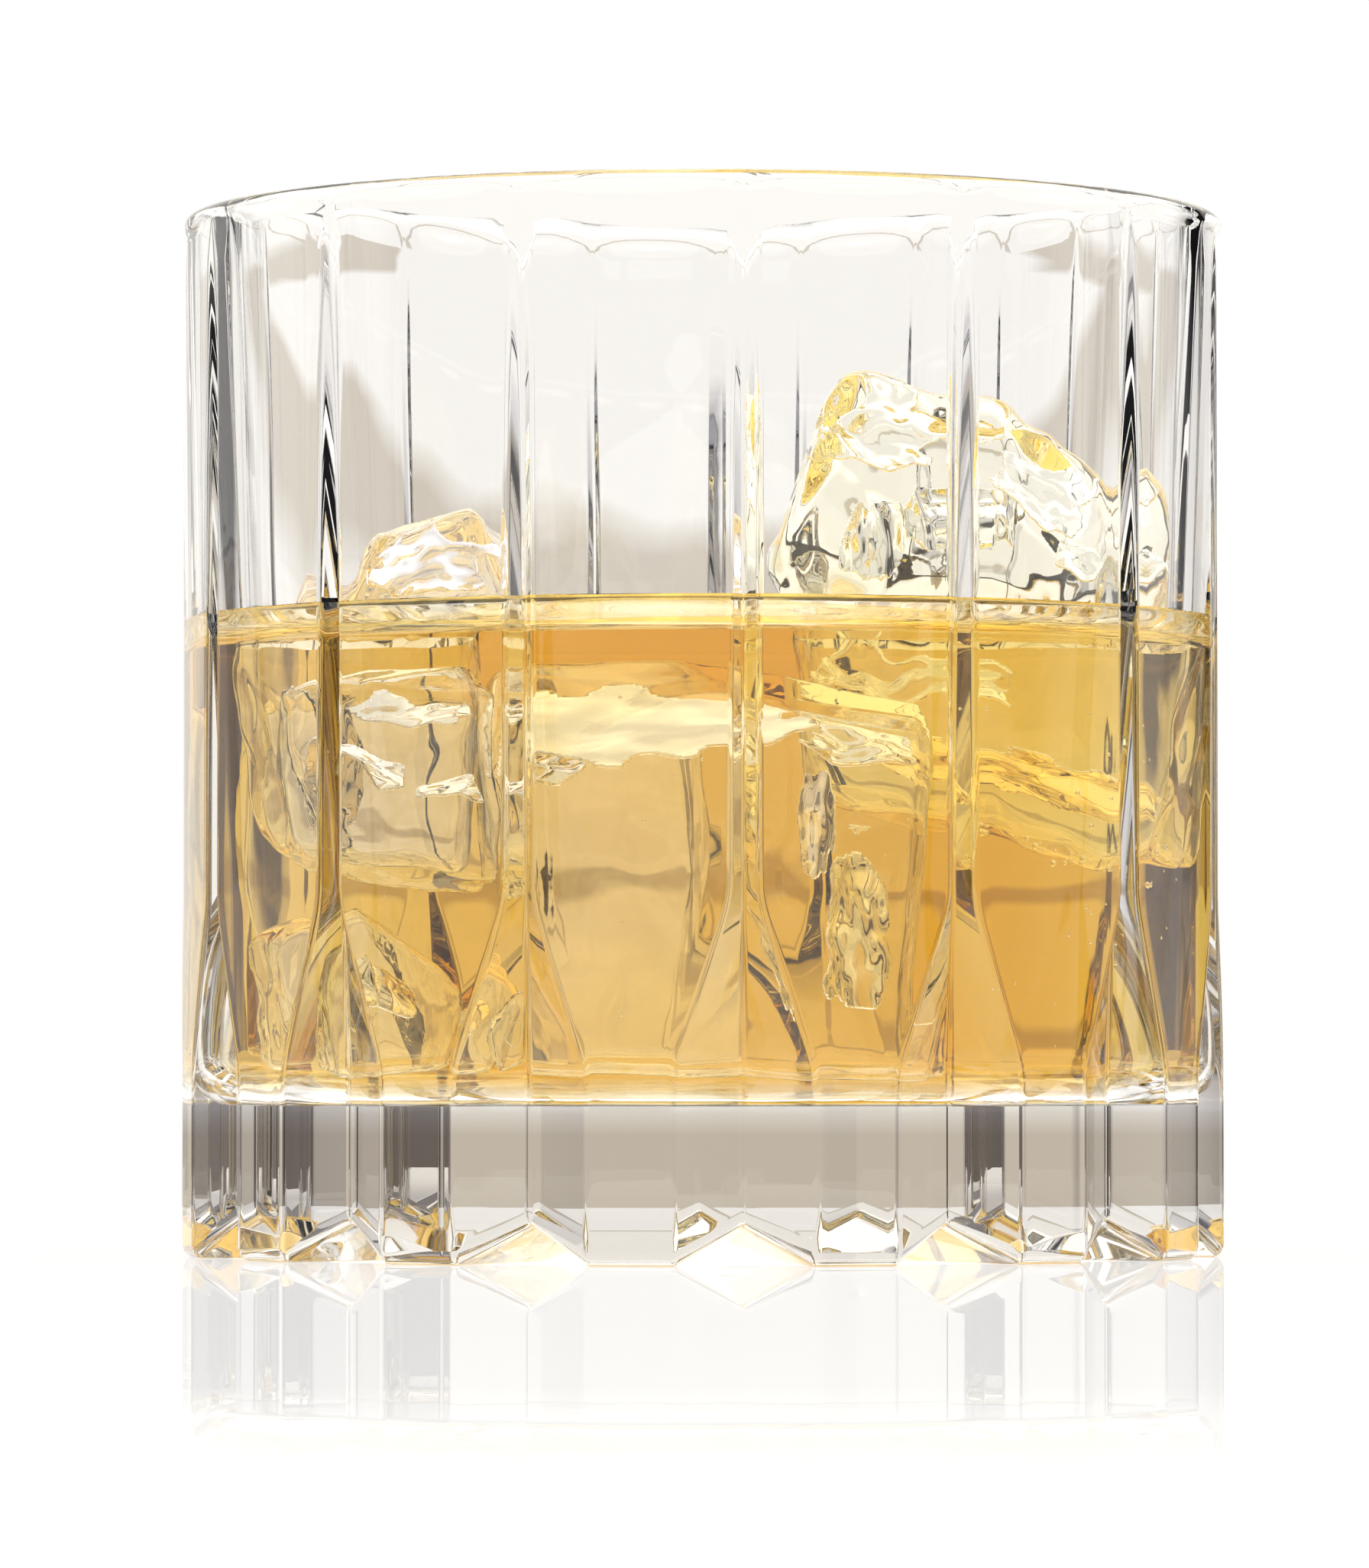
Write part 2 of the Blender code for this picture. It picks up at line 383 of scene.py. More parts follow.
# %% Press the turned glass row by row
def make_tumbler():
    """Each point of the spun net moves to its place in its own row."""
    rows = underside_rows() + foot_rows() + wall_rows() + rim_rows() + cavity_rows()
    inside = len(rows) - len(cavity_rows())
    total = SECTORS * COLUMNS
    profile = [(max(row[0][1], 0.0), row[0][2]) for row in rows]
    bm, number = turned(profile, total)
    for vert in bm.verts:
        row = vert[number]
        if rows[row][0][1] <= 0.0:
            vert.co = Vector((0.0, 0.0, rows[row][0][2]))
            continue
        column = round(math.atan2(vert.co.y, vert.co.x) / (2 * math.pi) * total) % total
        sector, step = divmod(column, COLUMNS)
        angle, radius, z = rows[row][step]
        place = around(FIRST_PANEL + sector * SECTOR + angle, radius, z)
        if row >= inside:
            wave = noise.noise(place / WAVE_SIZE)
            fade = min(1.0, (HEIGHT - z) / WAVE_FADE_Z)
            if z > FLOOR_Z + 1 * MM:
                place -= Vector((place.x, place.y, 0)).normalized() * WAVE * wave * fade
            else:
                place.z -= WAVE * abs(wave) * 2
        vert.co = place
    close_poles(bm)
    return mesh_object("tumbler_glass", bm)


tumbler = make_tumbler()

# %% [markdown]
# ## Ice
# The two blocks that stand out of the drink start from their solids, and the
# sunk ones from the hull of a few points. Real ice has no flat faces left once it
# floats in whisky: its edges are melted round, and its sides are scooped into
# shallow dents that meet in soft ridges. A voxel remesh gives an even skin,
# smoothing melts it, cell noise scoops it and fine noise unsettles it.

# %% Melting a block
# without a seed noise_vector goes by the clock, and the ice would come out different each time
NOISE_SEED = 1795472348
noise.seed_set(NOISE_SEED)

VOXEL = 0.55 * MM
# how wide a ridge between two dents is, against the dents' own size
RIDGE = 0.55
# sizes of the noises, against the dents' size, and how far the first and last one reach
BEND_SIZE, BEND = 1.5, 0.35
GRAIN_SIZE = 0.24
SWING_SIZE, SWING = 1.8, 0.5


def smoothed(bm, times):
    for _ in range(times):
        bmesh.ops.smooth_vert(
            bm, verts=bm.verts, factor=0.5, use_axis_x=True, use_axis_y=True, use_axis_z=True)


def scoop(place):
    """0 on the ridges between the cells of the noise, up to 1 in their middles."""
    near = noise.voronoi(place)[0]
    return min(1.0, (near[1] - near[0]) / RIDGE)


def melted(name, bm, melt, dent, dent_size, grain, seed, soften=2):
    """An even skin over a rough block, smoothed melt times, scooped, and smoothed soften times."""
    obj = mesh_object(name, bm)
    remesh = obj.modifiers.new("skin", "REMESH")
    remesh.mode = "VOXEL"
    remesh.voxel_size = VOXEL
    applied(obj)
    bm = bmesh.new()
    bm.from_mesh(obj.data)
    smoothed(bm, melt)
    bm.normal_update()
    shift = Vector((seed * 7.3, seed * 1.7, seed * 3.1))
    moves = []
    for vert in bm.verts:
        bend = noise.noise_vector(vert.co / (dent_size * BEND_SIZE) + shift) * BEND
        large = scoop(vert.co / dent_size + bend + shift)
        small = noise.noise(vert.co / (dent_size * GRAIN_SIZE) + shift)
        swing = noise.noise(vert.co / (dent_size * SWING_SIZE) - shift)
        moves.append(vert.normal * (dent * (SWING * swing - large) + grain * small))
    for vert, move in zip(bm.verts, moves):
        vert.co += move
    smoothed(bm, soften)
    bm.to_mesh(obj.data)
    bm.free()
    return obj


def solid_copy(node):
    """A merged copy of a solid's mesh, to model on."""
    bm = bmesh.new()
    bm.from_mesh(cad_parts[node].data)
    bmesh.ops.remove_doubles(bm, verts=bm.verts, dist=POLE_GAP)
    return bm


def hull_block(*points):
    """The hull of a few points, given in mm."""
    bm = bmesh.new()
    for point in points:
        bm.verts.new(Vector(point) * MM)
    bmesh.ops.convex_hull(bm, input=bm.verts)
    loose = [vert for vert in bm.verts if not vert.link_faces]
    bmesh.ops.delete(bm, geom=loose, context="VERTS")
    bmesh.ops.recalc_face_normals(bm, faces=bm.faces)
    return bm


# %% The two blocks that stand out of the drink
ice_large = melted(
    "ice_top_right", solid_copy("ice_large"),
    melt=5, dent=1.15 * MM, dent_size=10.0 * MM, grain=0.05 * MM, seed=1, soften=4)
ice_left = melted(
    "ice_top_left", solid_copy("ice_left"),
    melt=4, dent=0.8 * MM, dent_size=8.0 * MM, grain=0.05 * MM, seed=2, soften=3)

# %% The large sunk blocks: a middle one in front, and one behind it
ice_centre = melted(
    "ice_sunk_centre",
    hull_block(
        (-11.5, -26.5, 14.0), (14.5, -28.0, 13.6), (13.0, -15.5, 13.4), (-11.0, -5.0, 14.0),
        (-15.0, -27.0, 38.4), (-4.0, -29.4, 41.2), (6.0, -30.0, 42.4), (17.0, -26.5, 40.6),
        (-13.0, -16.0, 46.6), (-1.5, -16.5, 47.0), (-12.5, -4.0, 44.0), (-3.5, -3.5, 45.0),
        (15.5, -17.5, 43.5),
    ),
    melt=4, dent=0.4 * MM, dent_size=13 * MM, grain=0.04 * MM, seed=3)
ice_back = melted(
    "ice_sunk_back",
    hull_block(
        (-25.0, 4.0, 15.0), (-22.5, 21.5, 15.4), (0.0, 26.5, 14.6), (1.5, 4.0, 14.4),
        (-28.0, 4.0, 30.0), (-24.5, 23.5, 34.0), (2.2, 28.0, 30.0), (2.4, 3.4, 34.0),
        (-27.5, 4.5, 43.5), (-23.0, 21.0, 45.2), (0.0, 25.0, 44.4), (1.4, 5.0, 45.6),
    ),
    melt=6, dent=0.5 * MM, dent_size=16 * MM, grain=0.03 * MM, seed=6)

# %% The smaller sunk pieces at the left
ice_front = melted(
    "ice_sunk_front",
    hull_block(
        (-29.5, -17.0, 31.0), (-24.5, -21.5, 29.0), (-14.5, -24.5, 28.0), (-14.0, -30.0, 30.0),
        (-24.0, -26.0, 31.5), (-30.5, -16.0, 45.0), (-25.0, -21.0, 46.2), (-15.5, -24.0, 46.4),
        (-14.5, -31.0, 44.0), (-25.0, -26.5, 45.2), (-31.0, -18.0, 38.0), (-20.0, -29.0, 38.0),
    ),
    melt=2, dent=0.5 * MM, dent_size=7 * MM, grain=0.06 * MM, seed=8)
ice_shards = melted(
    "ice_sunk_shards",
    hull_block(
        (-27.5, -19.5, 13.8), (-17.0, -21.5, 14.5), (-18.0, -6.0, 13.4), (-29.0, -7.0, 14.5),
        (-30.0, -16.0, 24.5), (-25.0, -20.5, 27.6), (-15.5, -18.0, 21.0), (-22.0, -4.5, 27.0),
        (-31.0, -7.0, 25.0),
    ),
    melt=1, dent=0.55 * MM, dent_size=5.5 * MM, grain=0.08 * MM, seed=4, soften=1)
ice_chip = melted(
    "ice_sunk_chip",
    hull_block(
        (-15.9, -28.2, 14.2), (-13.4, -28.8, 16.2), (-14.6, -25.6, 15.0), (-17.4, -27.2, 17.2),
        (-13.2, -27.8, 20.4), (-14.8, -29.0, 21.8), (-14.0, -25.8, 20.2), (-17.2, -26.2, 19.6),
    ),
    melt=1, dent=0.12 * MM, dent_size=3 * MM, grain=0.03 * MM, seed=5, soften=1)

SUNK_ICE = [ice_centre, ice_back, ice_front, ice_shards, ice_chip]
ICE = [ice_large, ice_left] + SUNK_ICE
print("ice:", [(block.name, len(block.data.polygons)) for block in ICE])

# %% [markdown]
# ## Cracks and bubbles
# Clear ice shows by what is inside it. A crack is a thin film of air, so it is
# modelled as a wavy sheet of hollow with its faces turned inwards. Seen edge on
# it mirrors: one that leans back by some thirty degrees shows the bright room
# overhead, and an upright one shows the dark cards at the sides. A bubble is a
# round hollow.

# %% Hollows in a clear body
def turned_by(degrees):
    x, y, z = (math.radians(angle) for angle in degrees)
    return Matrix.Rotation(z, 3, "Z") @ Matrix.Rotation(y, 3, "Y") @ Matrix.Rotation(x, 3, "X")


def hollow_into(obj, bm):
    """Turn a closed shape inside out and add it to an object's own faces."""
    bmesh.ops.recalc_face_normals(bm, faces=bm.faces)
    bmesh.ops.reverse_faces(bm, faces=bm.faces)
    extra = bpy.data.meshes.new("extra")
    bm.to_mesh(extra)
    bm.free()
    whole = bmesh.new()
    whole.from_mesh(obj.data)
    whole.from_mesh(extra)
    whole.to_mesh(obj.data)
    whole.free()
    bpy.data.meshes.remove(extra)


def add_bubble(obj, middle, radius):
    bm = bmesh.new()
    bmesh.ops.create_icosphere(bm, subdivisions=2, radius=radius * MM)
    bmesh.ops.translate(bm, vec=Vector(middle) * MM, verts=bm.verts)
    hollow_into(obj, bm)


# %% A crack is a thin, wavy, ragged hollow
# how far under the skin a crack has to stay, and how thick its film of air is
CRACK_DEPTH = 0.7 * MM
CRACK_THICKNESS = 0.14 * MM
CRACK_CELLS = 48
# the ragged rim: where it lies and how far it wanders, as shares of half the sheet, and over
# how many mm
RAGGED_REACH, RAGGED, RAGGED_SIZE = 0.8, 0.35, 3.5
# the ripples: two sizes in mm, and how strong the finer one is
LONG_WAVE, SHORT_WAVE, SHORT_SHARE = 5.0, 1.8, 0.3


def skin_depth(skin, place):
    """How far under the block's skin a place lies; negative outside."""
    near, normal, _, distance = skin.find_nearest(place)
    return distance if (place - near).dot(normal) < 0 else -distance


def skin_of(obj):
    """A tree of an object's faces, to ask for the nearest one."""
    whole = bmesh.new()
    whole.from_mesh(obj.data)
    skin = BVHTree.FromBMesh(whole)
    whole.free()
    return skin


def ragged_sheet(size, shift):
    """A flat grid, one unit across, without the faces outside its ragged rim."""
    bm = bmesh.new()
    bmesh.ops.create_grid(bm, x_segments=CRACK_CELLS, y_segments=CRACK_CELLS, size=0.5)
    outside = []
    for face in bm.faces:
        flat = face.calc_center_median()
        ragged = noise.noise(Vector((flat.x * size[0], flat.y * size[1], 0)) / RAGGED_SIZE + shift)
        reach = (abs(2 * flat.x) ** 3 + abs(2 * flat.y) ** 3) ** (1 / 3)
        if reach > RAGGED_REACH + RAGGED * ragged:
            outside.append(face)
    bmesh.ops.delete(bm, geom=outside, context="FACES")
    return bm


def add_crack(obj, size, middle, turn, ripple, seed):
    """Ripple a ragged sheet, place it in a block and thicken it. Sizes in mm."""
    skin = skin_of(obj)
    shift = Vector((seed * 3.1, seed * 9.7, seed))
    bm = ragged_sheet(size, shift)
    for vert in bm.verts:
        place = Vector((vert.co.x * size[0], vert.co.y * size[1], 0))
        long_wave = noise.noise(place / LONG_WAVE - shift)
        wave = long_wave + SHORT_SHARE * noise.noise(place / SHORT_WAVE + shift)
        vert.co = Vector((place.x, place.y, ripple * wave)) * MM
    bmesh.ops.rotate(bm, cent=(0, 0, 0), matrix=turned_by(turn), verts=bm.verts)
    bmesh.ops.translate(bm, vec=Vector(middle) * MM, verts=bm.verts)
    depths = [(face, skin_depth(skin, face.calc_center_median())) for face in bm.faces]
    shallow = [face for face, depth in depths if depth < CRACK_DEPTH]
    bmesh.ops.delete(bm, geom=shallow, context="FACES")
    if not bm.faces:
        bm.free()
        return
    smoothed(bm, 3)
    bmesh.ops.solidify(bm, geom=bm.faces[:], thickness=CRACK_THICKNESS)
    hollow_into(obj, bm)


# %% Where the cracks lie
# (block, size, middle, turn, ripple): leaning ones look bright, upright ones dark
CRACKS = (
    (ice_centre, (26, 15), (-5.0, -21.5, 42.0), (31, -3, 0), 0.4),
    (ice_centre, (10, 15), (-12.0, -20.0, 40.5), (31, -12, 0), 0.5),
    (ice_centre, (12, 8), (11.0, -21.0, 40.5), (31, 14, 8), 1.3),
    (ice_centre, (13, 16), (10.5, -21.5, 26.0), (90, 4, 66), 0.9),
    (ice_centre, (10, 10), (7.5, -21.5, 34.0), (90, -8, 116), 0.8),
    (ice_left, (13, 11), (-21.0, -12.0, 53.5), (32, -6, 0), 0.9),
    (ice_left, (13, 14), (-25.0, -10.5, 39.0), (90, 4, 69), 0.6),
    (ice_front, (15, 9), (-21.5, -25.0, 42.6), (31, -6, 0), 1.2),
    (ice_front, (9, 7), (-24.5, -23.5, 38.5), (34, 12, 0), 1.0),
    (ice_front, (7, 6), (-17.5, -27.0, 36.5), (28, -16, 0), 0.9),
    (ice_large, (17, 14), (14.0, 0.0, 65.2), (32, 6, 0), 1.3),
    (ice_large, (8, 24), (14.6, 0.5, 56.2), (0, 90, -22), 0.5),
    (ice_large, (15, 12), (26.5, -0.5, 60.2), (33, 24, 0), 1.5),
    (ice_large, (7, 20), (20.5, 0.0, 58.0), (0, 78, -20), 1.2),
    (ice_large, (7, 7), (31.5, -1.0, 54.5), (30, 16, 0), 1.3),
    (ice_large, (16, 12), (12.0, -6.0, 45.5), (32, 8, 0), 2.6),
    (ice_large, (22, 12), (20.5, -2.5, 38.0), (-24, 15, 0), 0.7),
    (ice_shards, (8, 7), (-21.5, -13.5, 21.0), (32, 24, 0), 0.4),
    (ice_shards, (11, 10), (-24.0, -12.5, 19.5), (90, 14, 112), 0.5),
    (ice_chip, (1.7, 3.6), (-15.1, -27.3, 18.0), (60, 20, 0), 0.2),
)


# %% Where the bubbles cling
def by_the_wall(angle, z, gap):
    """A place in mm, a gap inside the glass wall."""
    reach = cavity_radius(z * MM) / MM - gap
    return (reach * math.sin(angle), -reach * math.cos(angle), z)


def bubble_places():
    """(middle, radius) in mm: under the large block's lower edge, up the wall, and a few at large."""
    draw = random.Random(7)
    places = []
    for _ in range(26):
        t = draw.random()
        y = -14.4 - draw.random()
        z = blend(35.6, 31.0, t) - 1.2 - 1.6 * draw.random() ** 2
        places.append(((blend(17.0, 32.0, t), y, z), draw.choice((0.12, 0.16, 0.2, 0.3))))
    for count, turns, heights, widest_gap, radii in (
        (34, (48, 72), (22, 44), 1.6, (0.1, 0.14, 0.22)),
        (30, (-60, 60), (15, 46), 1.2, (0.08, 0.1, 0.14)),
    ):
        for _ in range(count):
            angle = math.radians(draw.uniform(*turns))
            z = draw.uniform(*heights)
            place = by_the_wall(angle, z, draw.uniform(0.5, widest_gap))
            places.append((place, draw.choice(radii)))
    return places


# %% [markdown]
# ## The drink
# The drink is turned too. It reaches a hair into the glass wall, so no film of
# air is left between them, and it climbs the wall in a meniscus. The ice is cut
# out of it, a hair smaller than the ice itself, so light passes from drink to
# ice directly and no film of air shows round the blocks.

# %% The drink's section
LEVEL_Z = 48.7 * MM
MENISCUS_RISE = 2.6 * MM
MENISCUS_RUN = 5.8 * MM
MENISCUS_POWER = 5
MENISCUS_ROWS = 32
SURFACE_ROWS = 22
CONTACT_LIFT = 0.05 * MM
INTO_WALL = 0.14 * MM


def drink_profile():
    """(radius, z) from the middle of the surface up to the wall, then down and in along the glass."""
    wall_z = LEVEL_Z + MENISCUS_RISE
    wall_r = cavity_radius(wall_z)
    flat_r = wall_r - MENISCUS_RUN
    points = [(flat_r * i / SURFACE_ROWS, LEVEL_Z) for i in range(SURFACE_ROWS + 1)]
    for i in range(1, MENISCUS_ROWS + 1):
        t = i / MENISCUS_ROWS
        points.append((blend(flat_r, wall_r, t), LEVEL_Z + MENISCUS_RISE * t ** MENISCUS_POWER))
    points.append((wall_r + INTO_WALL, wall_z + CONTACT_LIFT))
    corner_z = FLOOR_Z + FLOOR_CORNER_R
    for i in range(1, 21):
        z = blend(wall_z, corner_z, i / 20)
        points.append((cavity_radius(z) + INTO_WALL, z))
    corner_r = cavity_radius(corner_z) - FLOOR_CORNER_R
    for degrees in range(15, 91, 15):
        t = math.radians(degrees)
        reach = FLOOR_CORNER_R + INTO_WALL
        points.append((corner_r + reach * math.cos(t), corner_z - reach * math.sin(t)))
    shares = (0.85, 0.7, 0.55, 0.4, 0.25, 0.1, 0.0)
    points += [(corner_r * share, FLOOR_Z - INTO_WALL) for share in shares]
    return points


# %% Turn the drink, ripple its rim and cut the ice out
DRINK_STEPS = 240
RIPPLE = 0.12 * MM
RIPPLE_HEIGHT = 0.5 * MM
RIPPLE_TURNS = 3
# the share of the rise that ripples, and how far inside the wall it stops
RIPPLE_LOW, RIPPLE_HIGH = 0.002, 0.999
RIPPLE_GAP = 0.05 * MM
ICE_SKIN = 0.05 * MM


def ripple_rim(bm):
    """Unsettle the rim of liquid at the wall, in bands that run round the glass."""
    for vert in bm.verts:
        rise = (vert.co.z - LEVEL_Z) / MENISCUS_RISE
        out = Vector((vert.co.x, vert.co.y, 0))
        free = out.length < cavity_radius(vert.co.z) - RIPPLE_GAP
        if free and RIPPLE_LOW < rise < RIPPLE_HIGH:
            way = out.normalized()
            band = Vector((RIPPLE_TURNS * way.x, RIPPLE_TURNS * way.y, vert.co.z / RIPPLE_HEIGHT))
            wave = noise.noise(band)
            vert.co += way * RIPPLE * wave * (1 - rise)


def make_drink(blocks):
    """The turned drink with every block of ice cut out of it."""
    bm, _ = turned(drink_profile(), DRINK_STEPS)
    ripple_rim(bm)
    close_poles(bm)
    obj = mesh_object("whisky", bm)
    for block in blocks:
        cut = obj.modifiers.new("cut", "BOOLEAN")
        cut.operation = "DIFFERENCE"
        cut.solver = "MANIFOLD"
        cut.object = block
    return applied(obj)


def swell(obj, distance):
    """Push a skin out along its normals."""
    bm = bmesh.new()
    bm.from_mesh(obj.data)
    bm.normal_update()
    moves = [vert.normal * distance for vert in bm.verts]
    for vert, move in zip(bm.verts, moves):
        vert.co += move
    bm.to_mesh(obj.data)
    bm.free()


whisky = make_drink(ICE)
for block in ICE:
    swell(block, ICE_SKIN)
for seed, (block, *crack) in enumerate(CRACKS):
    add_crack(block, *crack, seed)
for middle, radius in bubble_places():
    add_bubble(whisky, middle, radius)

# %% [markdown]
# ## Clear materials
# Glass, whisky and ice are one smooth shader with three refractive indices.
# Colour comes from absorption inside, so it deepens with the length of the way
# through: thin whisky is pale and deep whisky is amber, and the glass goes grey
# where the eye looks through the whole thick foot. The block that stands highest
# has a yellow tint in its ice, which is painted light standing in for the amber
# light that reaches it from the drink, and the others are clear.

# %% Glass, whisky and ice
def clear_material(name, ior, tint, density):
    """A smooth clear body that soaks up (1 - tint) * density of each colour's light a metre."""
    material = bpy.data.materials.new(name)
    material.use_nodes = True
    nodes = material.node_tree.nodes
    shader = nodes["Principled BSDF"]
    shader.inputs["Base Color"].default_value = (1.0, 1.0, 1.0, 1.0)
    shader.inputs["Roughness"].default_value = 0.0
    shader.inputs["IOR"].default_value = ior
    shader.inputs["Transmission Weight"].default_value = 1.0
    soak = nodes.new("ShaderNodeVolumeAbsorption")
    soak.inputs["Color"].default_value = (*tint, 1.0)
    soak.inputs["Density"].default_value = density
    material.node_tree.links.new(soak.outputs["Volume"], nodes["Material Output"].inputs["Volume"])
    return material


glass_material = clear_material("clear glass", 1.5, (0.40, 0.32, 0.20), 4.5)
whisky_material = clear_material("amber whisky", 1.36, (0.94, 0.755, 0.0), 55.0)
# painted light: this yellow tint stands in for amber light from the drink reaching the top block
ice_with_painted_amber_light = clear_material("ice with painted amber light", 1.31, (0.99, 0.93, 0.5), 20.0)
clear_ice = clear_material("clear ice", 1.31, (1.0, 0.88, 0.93), 20.0)

# %% Dress the pieces and hang them on the body
finish_piece(tumbler, glass_material, "glass", "tumbler")
finish_piece(whisky, whisky_material, "whisky", "drink")
finish_piece(ice_large, ice_with_painted_amber_light, "ice", "ice_large")
finish_piece(ice_left, clear_ice, "ice", "ice_left")
for block in SUNK_ICE:
    finish_piece(block, clear_ice, "ice")

# %% [markdown]
# ## The table
# A white gloss sheet that glows by itself, which is painted light: evenly enough
# to read as white, a little brighter right round the foot to paint out the glass's
# shadow, and much brighter under the glass, a painted pool of light standing in for
# a lamp below. Under the glass it doesn't mirror at all, and from the foot outwards
# it shows a mirror image that fades with distance. It ends not far behind the glass,
# so that the foot is seen against the room.

# %% Gloss white table
TABLE_HALF = (0.30, 0.45)
TABLE_MIDDLE_Y = -0.17
TABLE_GREY = 0.35
RAMP_R = 0.5
# (distance from the axis in m, share of mirror) and (distance, painted glow): the glow is the table's own
# painted light, a pool under the glass and a brightening round the foot where the glass's shadow would
# fall
MIRROR = ((0.0, 0.0), (0.036, 0.0), (0.040, 0.45), (0.30, 0.45), (0.42, 0.12), (0.5, 0.0))
PAINTED_GLOW = (
    (0.0, 1.5), (0.030, 1.5), (0.041, 0.90), (0.08, 0.86), (0.20, 0.84), (0.40, 0.90), (0.5, 0.90),
)


def math_node(tree, operation, *values):
    """One step of arithmetic on sockets and plain numbers."""
    node = tree.nodes.new("ShaderNodeMath")
    node.operation = operation
    for socket, value in zip(node.inputs, values):
        if isinstance(value, (int, float)):
            socket.default_value = value
        else:
            tree.links.new(value, socket)
    return node.outputs["Value"]


def colour_ramp(tree, share, steps):
    """A colour ramp of (share, colour), read at a share of its length."""
    ramp = tree.nodes.new("ShaderNodeValToRGB")
    tree.links.new(share, ramp.inputs["Fac"])
    points = ramp.color_ramp.elements
    points.remove(points[-1])
    for i, (place, colour) in enumerate(steps):
        point = points[0] if i == 0 else points.new(place)
        point.position = place
        point.color = (*colour, 1.0)
    return ramp.outputs["Color"]


def grey_ramp(tree, distance, steps):
    """Grey levels along a distance, up to RAMP_R."""
    greys = [(place / RAMP_R, (level, level, level)) for place, level in steps]
    return colour_ramp(tree, math_node(tree, "DIVIDE", distance, RAMP_R), greys)


def make_table():
    """A flat ellipse whose glow and mirror image change with the distance from the axis."""
    bm = bmesh.new()
    bmesh.ops.create_circle(bm, cap_ends=True, segments=128, radius=1.0)
    bmesh.ops.scale(bm, vec=(*TABLE_HALF, 1.0), verts=bm.verts)
    bmesh.ops.translate(bm, vec=(0, TABLE_MIDDLE_Y, 0), verts=bm.verts)
    obj = mesh_object("table", bm)
    material = bpy.data.materials.new("white gloss table")
    material.use_nodes = True
    tree = material.node_tree
    nodes, links = tree.nodes, tree.links
    nodes.clear()
    place = nodes.new("ShaderNodeTexCoord")
    reach = nodes.new("ShaderNodeVectorMath")
    reach.operation = "LENGTH"
    links.new(place.outputs["Object"], reach.inputs[0])
    paint = nodes.new("ShaderNodeBsdfDiffuse")
    paint.inputs["Color"].default_value = (TABLE_GREY, TABLE_GREY, TABLE_GREY, 1.0)
    # painted light: the sheet glows by itself, most of all under the glass
    glow = nodes.new("ShaderNodeEmission")
    links.new(grey_ramp(tree, reach.outputs["Value"], PAINTED_GLOW), glow.inputs["Color"])
    sheet = nodes.new("ShaderNodeAddShader")
    links.new(paint.outputs["BSDF"], sheet.inputs[0])
    links.new(glow.outputs["Emission"], sheet.inputs[1])
    mirror = nodes.new("ShaderNodeBsdfGlossy")
    mirror.inputs["Roughness"].default_value = 0.0
    mix = nodes.new("ShaderNodeMixShader")
    links.new(grey_ramp(tree, reach.outputs["Value"], MIRROR), mix.inputs["Fac"])
    links.new(sheet.outputs["Shader"], mix.inputs[1])
    links.new(mirror.outputs["BSDF"], mix.inputs[2])
    out = nodes.new("ShaderNodeOutputMaterial")
    links.new(mix.outputs["Shader"], out.inputs["Surface"])
    obj.data.materials.append(material)
    return obj


table = make_table()
print(table.name, [round(2 * half / MM) for half in TABLE_HALF], "mm")

# %% [markdown]
# ## The room round the glass
# A clear thing shows only what stands round it. A low band of cards is white
# behind the glass, which makes the drink glow, and has a narrow dark stripe on
# either side, which draws the edges. In front it is grey, so the panels don't
# shine. A bright ring hangs over the cards and lights the ice from above, and a
# beige strip just under the horizon is what shows through the clear foot.

# %% Sizes and levels of the room
# (degrees round from straight behind the glass, level) of the low band of cards
CARDS = (
    (-180, 0.35), (-96, 0.35), (-86, 0.9), (-62, 0.95), (-53, 0.85), (-47, 0.7), (-45, 0.05),
    (-38, 0.05), (-36, 0.7), (-30, 0.8), (-22, 1.05), (22, 1.05), (30, 0.8), (36, 0.7),
    (38, 0.05), (45, 0.05), (47, 0.7), (53, 0.85), (62, 0.95), (86, 0.9), (96, 0.35), (180, 0.35),
)
# the tint of a card at level 0, which fades as the level rises, and of the whole room
SHADE = (0.84, 0.82, 1.0)
WARM = (1.0, 0.975, 0.925)
# elevations in degrees where the cards start, are full, start to end and have ended
BAND = (-12.0, -8.0, 12.0, 18.0)
# the same for the beige strip, from the top down
STRIP = (-0.15, -0.4, -1.3, -2.0)
STRIP_TINT = (0.66, 0.61, 0.54)
# elevations of the bright ring and of the dimmer ceiling
RING, CEILING = 35.0, 58.0
RING_LEVEL = 1.5
CEILING_LEVEL = 0.95


# %% Helpers for a room of cards
def height_of(degrees):
    """The height of a direction at this elevation."""
    return math.sin(math.radians(degrees))


def ranged(tree, value, low, high, start=0.0, end=1.0):
    """start to end, as a value goes from low to high."""
    node = tree.nodes.new("ShaderNodeMapRange")
    for name, number in zip(("From Min", "From Max", "To Min", "To Max"), (low, high, start, end)):
        node.inputs[name].default_value = number
    tree.links.new(value, node.inputs["Value"])
    return node.outputs["Result"]


def tinted(tree, colour, tint, share):
    """A colour multiplied by a tint, as far as the share says."""
    node = tree.nodes.new("ShaderNodeMix")
    node.data_type = "RGBA"
    node.blend_type = "MULTIPLY"
    node.inputs["B"].default_value = (*tint, 1.0)
    if isinstance(share, float):
        node.inputs["Factor"].default_value = share
    else:
        tree.links.new(share, node.inputs["Factor"])
    tree.links.new(colour, node.inputs["A"])
    return node.outputs["Result"]


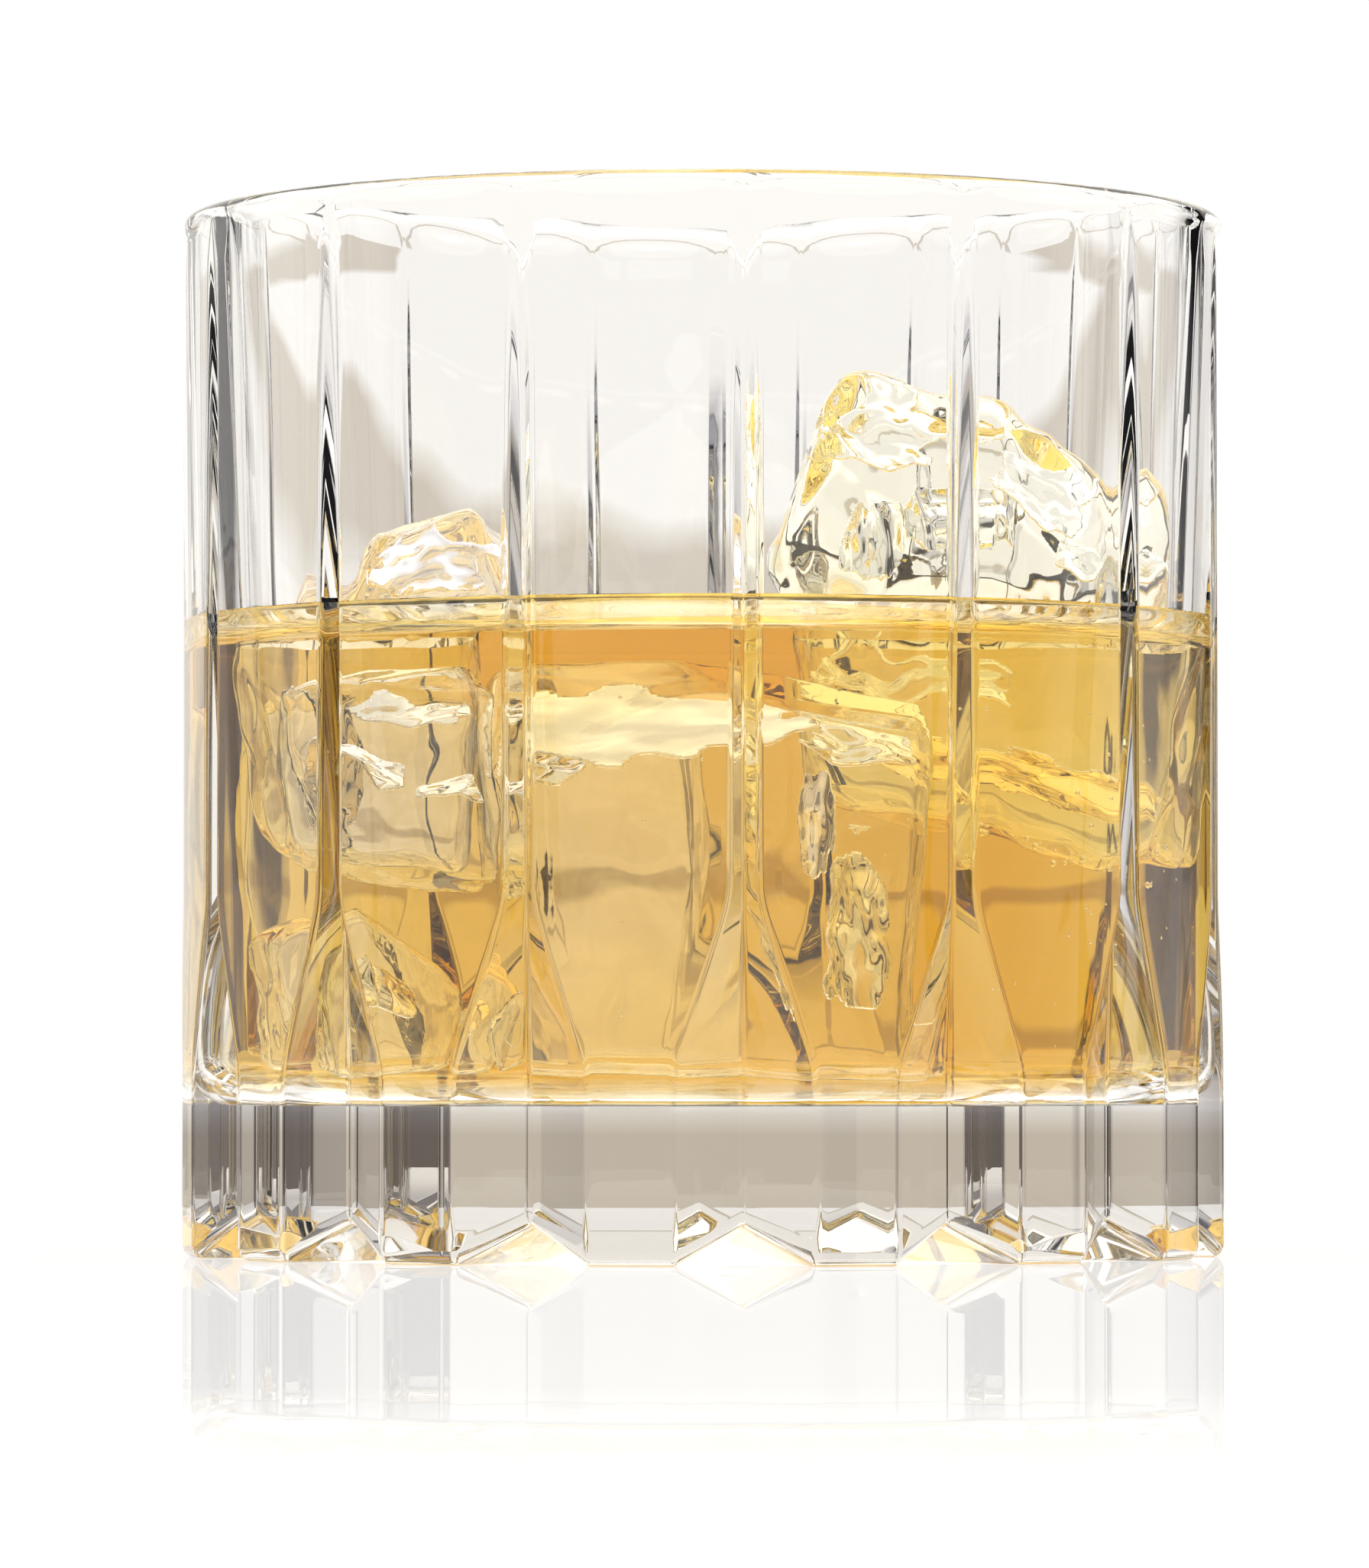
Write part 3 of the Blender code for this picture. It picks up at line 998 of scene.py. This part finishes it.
# %% Build the room
def room_colour(tree):
    """The room's colour in every direction."""
    place = tree.nodes.new("ShaderNodeTexCoord")
    split = tree.nodes.new("ShaderNodeSeparateXYZ")
    tree.links.new(place.outputs["Generated"], split.inputs[0])
    turn = math_node(tree, "ARCTAN2", split.outputs["X"], split.outputs["Y"])
    height = split.outputs["Z"]
    steps = [
        ((angle + 180) / 360, [blend(c, 1.0, level) * level for c in SHADE]) for angle, level in CARDS]
    band = colour_ramp(tree, ranged(tree, turn, -math.pi, math.pi), steps)
    sky = ranged(tree, height, height_of(RING), height_of(CEILING), RING_LEVEL, CEILING_LEVEL)
    low, full, top, gone = (height_of(angle) for angle in BAND)
    rise = ranged(tree, height, low, full)
    fall = ranged(tree, height, top, gone, 1.0, 0.0)
    cards = tree.nodes.new("ShaderNodeMix")
    cards.data_type = "RGBA"
    tree.links.new(math_node(tree, "MINIMUM", rise, fall), cards.inputs["Factor"])
    tree.links.new(sky, cards.inputs["A"])
    tree.links.new(band, cards.inputs["B"])
    start, thick, thin, end = (height_of(angle) for angle in STRIP)
    rise = ranged(tree, height, start, thick)
    fall = ranged(tree, height, end, thin)
    strip = math_node(tree, "MINIMUM", rise, fall)
    return tinted(tree, tinted(tree, cards.outputs["Result"], STRIP_TINT, strip), WARM, 1.0)


def make_world():
    """The room lights the pieces and shows in them, and the eye itself sees plain white."""
    world = bpy.data.worlds.new("studio")
    bpy.context.scene.world = world
    world.use_nodes = True
    world.cycles.sampling_method = "NONE"
    tree = world.node_tree
    nodes, links = tree.nodes, tree.links
    nodes.clear()
    lit = nodes.new("ShaderNodeBackground")
    links.new(room_colour(tree), lit.inputs["Color"])
    plain = nodes.new("ShaderNodeBackground")
    plain.inputs["Color"].default_value = (1.0, 1.0, 1.0, 1.0)
    path = nodes.new("ShaderNodeLightPath")
    pick = nodes.new("ShaderNodeMixShader")
    links.new(path.outputs["Is Camera Ray"], pick.inputs["Fac"])
    links.new(lit.outputs["Background"], pick.inputs[1])
    links.new(plain.outputs["Background"], pick.inputs[2])
    out = nodes.new("ShaderNodeOutputWorld")
    links.new(pick.outputs["Shader"], out.inputs["Surface"])


make_world()
print("cards:", len(CARDS))

# %% [markdown]
# ## Tracing
# Light crosses up to three blocks of ice, the drink and both walls, and each of
# them has two skins, so it needs about twenty bounces. A pixel is left alone
# once its noise is low, because clear things are slow to trace.

# %% How light is traced and shown
scene = bpy.context.scene
scene.view_settings.view_transform = "Standard"
scene.view_settings.look = "None"
scene.cycles.max_bounces = 20
scene.cycles.transmission_bounces = 20
scene.cycles.glossy_bounces = 8
scene.cycles.diffuse_bounces = 1
scene.cycles.transparent_max_bounces = 16
scene.cycles.volume_bounces = 0
scene.cycles.caustics_reflective = False
scene.cycles.caustics_refractive = True
scene.cycles.adaptive_threshold = 0.1
scene.cycles.use_denoising = True

# %% Update the scene and finish
bpy.context.view_layer.update()
